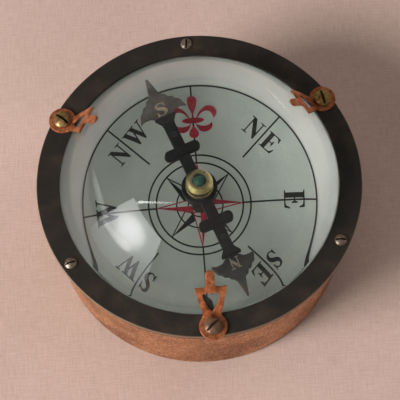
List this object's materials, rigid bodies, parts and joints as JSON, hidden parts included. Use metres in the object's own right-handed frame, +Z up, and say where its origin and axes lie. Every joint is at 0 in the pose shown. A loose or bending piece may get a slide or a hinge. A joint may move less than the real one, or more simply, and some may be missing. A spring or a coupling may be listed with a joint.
{
  "type": "desk compass with dome lens",
  "caption": "A round desk compass: a copper case with a dark bezel, a thick dome lens held by sprung clips, a printed wind-rose dial and an anchor-ended needle that turns freely on a pivot",
  "frame": {"origin": "centre of the flat underside, on the needle's pivot axis, where the felt pad rests on the table", "axes": "+Z up along the pivot axis, +Y towards the dial's north mark, +X towards the dial's east mark"},
  "size_m": [0.088, 0.0892, 0.06],
  "materials": {
    "case_copper": "copper-coloured, cast grain, matte",
    "bezel_bronze": "blackened bronze with worn brass edges",
    "clip_copper": "bright stamped copper",
    "screw_brass": "aged brass, turned",
    "hub_brass": "turned and polished",
    "plate_brass": "plain sheet",
    "dial_card": "pale grey-green card, printed in black and red",
    "sleeve_white": "white paint, satin",
    "gasket_rubber": "grey, matte",
    "lens_glass": "clear, polished",
    "blade_black": "blackened magnet steel",
    "head_gunmetal": "gun-metal grey, etched letters filled with brass colour",
    "pivot_steel": "ground",
    "jewel_green": "dark green glass cup",
    "pad_felt": "green felt"
  },
  "bodies": {
    "housing": {"case_bowl": "case_copper", "base_pad": "pad_felt", "dial_support": "plate_brass", "dial_plate": "plate_brass", "dial_card": "dial_card", "spacer_sleeve": "sleeve_white", "lens_gasket": "gasket_rubber", "dome_lens": "lens_glass", "bezel_ring": "bezel_bronze", "bezel_screw_north": "screw_brass", "bezel_screw_southeast": "screw_brass", "bezel_screw_southwest": "screw_brass", "clip_screw_south": "screw_brass", "clip_screw_east": "screw_brass", "clip_screw_west": "screw_brass", "pivot_post": "plate_brass", "pivot_pin": "pivot_steel", "pivot_washer": "pivot_steel", "pivot_nut": "plate_brass"},
    "needle": {"needle_blade": "blade_black", "needle_head_south": "head_gunmetal", "needle_head_north": "head_gunmetal", "needle_rivet_south": "pivot_steel", "needle_rivet_north": "pivot_steel", "hub_cap": "hub_brass", "hub_collar": "blade_black", "cap_jewel": "jewel_green"},
    "clip_south": {"lens_clip_south": "clip_copper"},
    "clip_east": {"lens_clip_east": "clip_copper"},
    "clip_west": {"lens_clip_west": "clip_copper"}
  },
  "joints": [
    {"name": "needle_spin", "type": "hinge", "parent": "housing", "child": "needle", "pos_m": [0, 0, 0.03], "axis": [0, 0, 1], "continuous": true},
    {"name": "clip_south_swivel", "type": "hinge", "parent": "housing", "child": "clip_south", "pos_m": [0, -0.04145, 0.0366], "axis": [0, 0, 1], "range_deg": [-100, 100]},
    {"name": "clip_east_swivel", "type": "hinge", "parent": "housing", "child": "clip_east", "pos_m": [0.0359, 0.02073, 0.0366], "axis": [0, 0, 1], "range_deg": [-100, 100]},
    {"name": "clip_west_swivel", "type": "hinge", "parent": "housing", "child": "clip_west", "pos_m": [-0.0359, 0.02073, 0.0366], "axis": [0, 0, 1], "range_deg": [-100, 100]}
  ]
}
